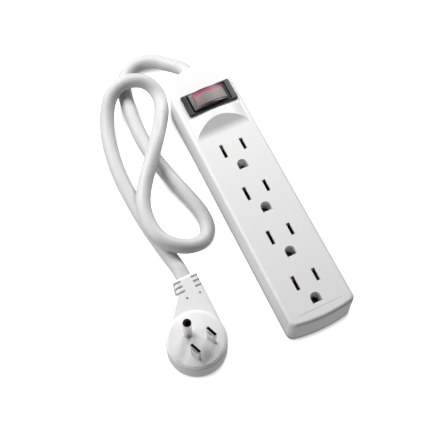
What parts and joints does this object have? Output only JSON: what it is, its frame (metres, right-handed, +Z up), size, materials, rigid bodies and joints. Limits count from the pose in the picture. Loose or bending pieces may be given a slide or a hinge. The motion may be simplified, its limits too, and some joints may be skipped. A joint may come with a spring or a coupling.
{
  "type": "power strip",
  "caption": "White plastic power strip with grounded outlets in a row, a guarded lighted rocker switch, a short cord in a loose loop and a flat grounded plug with its pins upwards.",
  "frame": {"origin": "bottom centre of the strip's case, on the surface it rests on", "axes": "+Y along the case towards the switch and the cord's exit, +X across the case, +Z up out of the outlets"},
  "size_m": [0.1059, 0.2093, 0.0364],
  "materials": {
    "white_case": "satin",
    "white_pvc": "smooth soft",
    "white_plug_face": "satin",
    "black_plastic": "satin",
    "red_lens": "translucent red",
    "natural_nylon": "smooth",
    "zinc_steel": "zinc plated",
    "nickel_plate": "nickel plated",
    "brass": "stamped sheet",
    "silver_contact": "silver",
    "bimetal": "rolled",
    "lamp_glass": "clear",
    "resistor_tan": "lacquered",
    "black_wire": "smooth",
    "white_wire": "smooth",
    "green_wire": "smooth"
  },
  "bodies": {
    "strip": {"top_cover": "white_case", "base_cover": "white_case", "case_screws": "zinc_steel", "clamp_screws": "zinc_steel", "switch_housing": "black_plastic", "rocker_axle": "zinc_steel", "fixed_contact": "silver_contact", "breaker_bimetal": "bimetal", "neon_lamp": "lamp_glass", "lamp_resistor": "resistor_tan", "cord_bushing": "white_pvc", "cord_inner_end": "white_pvc", "cord_clamp": "white_case", "power_cord": "white_pvc", "plug_body": "white_pvc", "plug_face": "white_plug_face", "neutral_blade": "nickel_plate", "hot_blade": "nickel_plate", "ground_pin": "nickel_plate", "line_hot_wire": "black_wire", "switched_hot_wire": "black_wire", "neutral_wire": "white_wire", "ground_wire": "green_wire", "lamp_wire": "white_wire", "neutral_bus_bar": "brass", "ground_bus_bar": "brass", "hot_bus_bar": "brass", "neutral_contacts": "brass", "ground_contacts": "brass", "hot_contacts": "brass", "line_terminal": "brass", "fulcrum_post": "brass", "load_terminal": "brass", "lamp_terminal": "brass"},
    "rocker": {"rocker": "black_plastic", "rocker_lens": "red_lens", "rocker_plunger": "natural_nylon", "plunger_spring": "zinc_steel"},
    "contact_arm": {"contact_arm": "brass", "arm_contact": "silver_contact"}
  },
  "joints": [
    {"name": "rocker_tilt", "type": "hinge", "parent": "strip", "child": "rocker", "pos_m": [0.0014, 0.0631, 0.0205], "axis": [0, 1, 0], "range_deg": [-8, 0]},
    {"name": "contact_tilt", "type": "hinge", "parent": "strip", "child": "contact_arm", "pos_m": [0.0014, 0.0631, 0.0124], "axis": [0, 1, 0], "range_deg": [0, 16]}
  ],
  "couplings": [
    {"joint": "contact_tilt", "follows": "rocker_tilt", "ratio": -2}
  ]
}
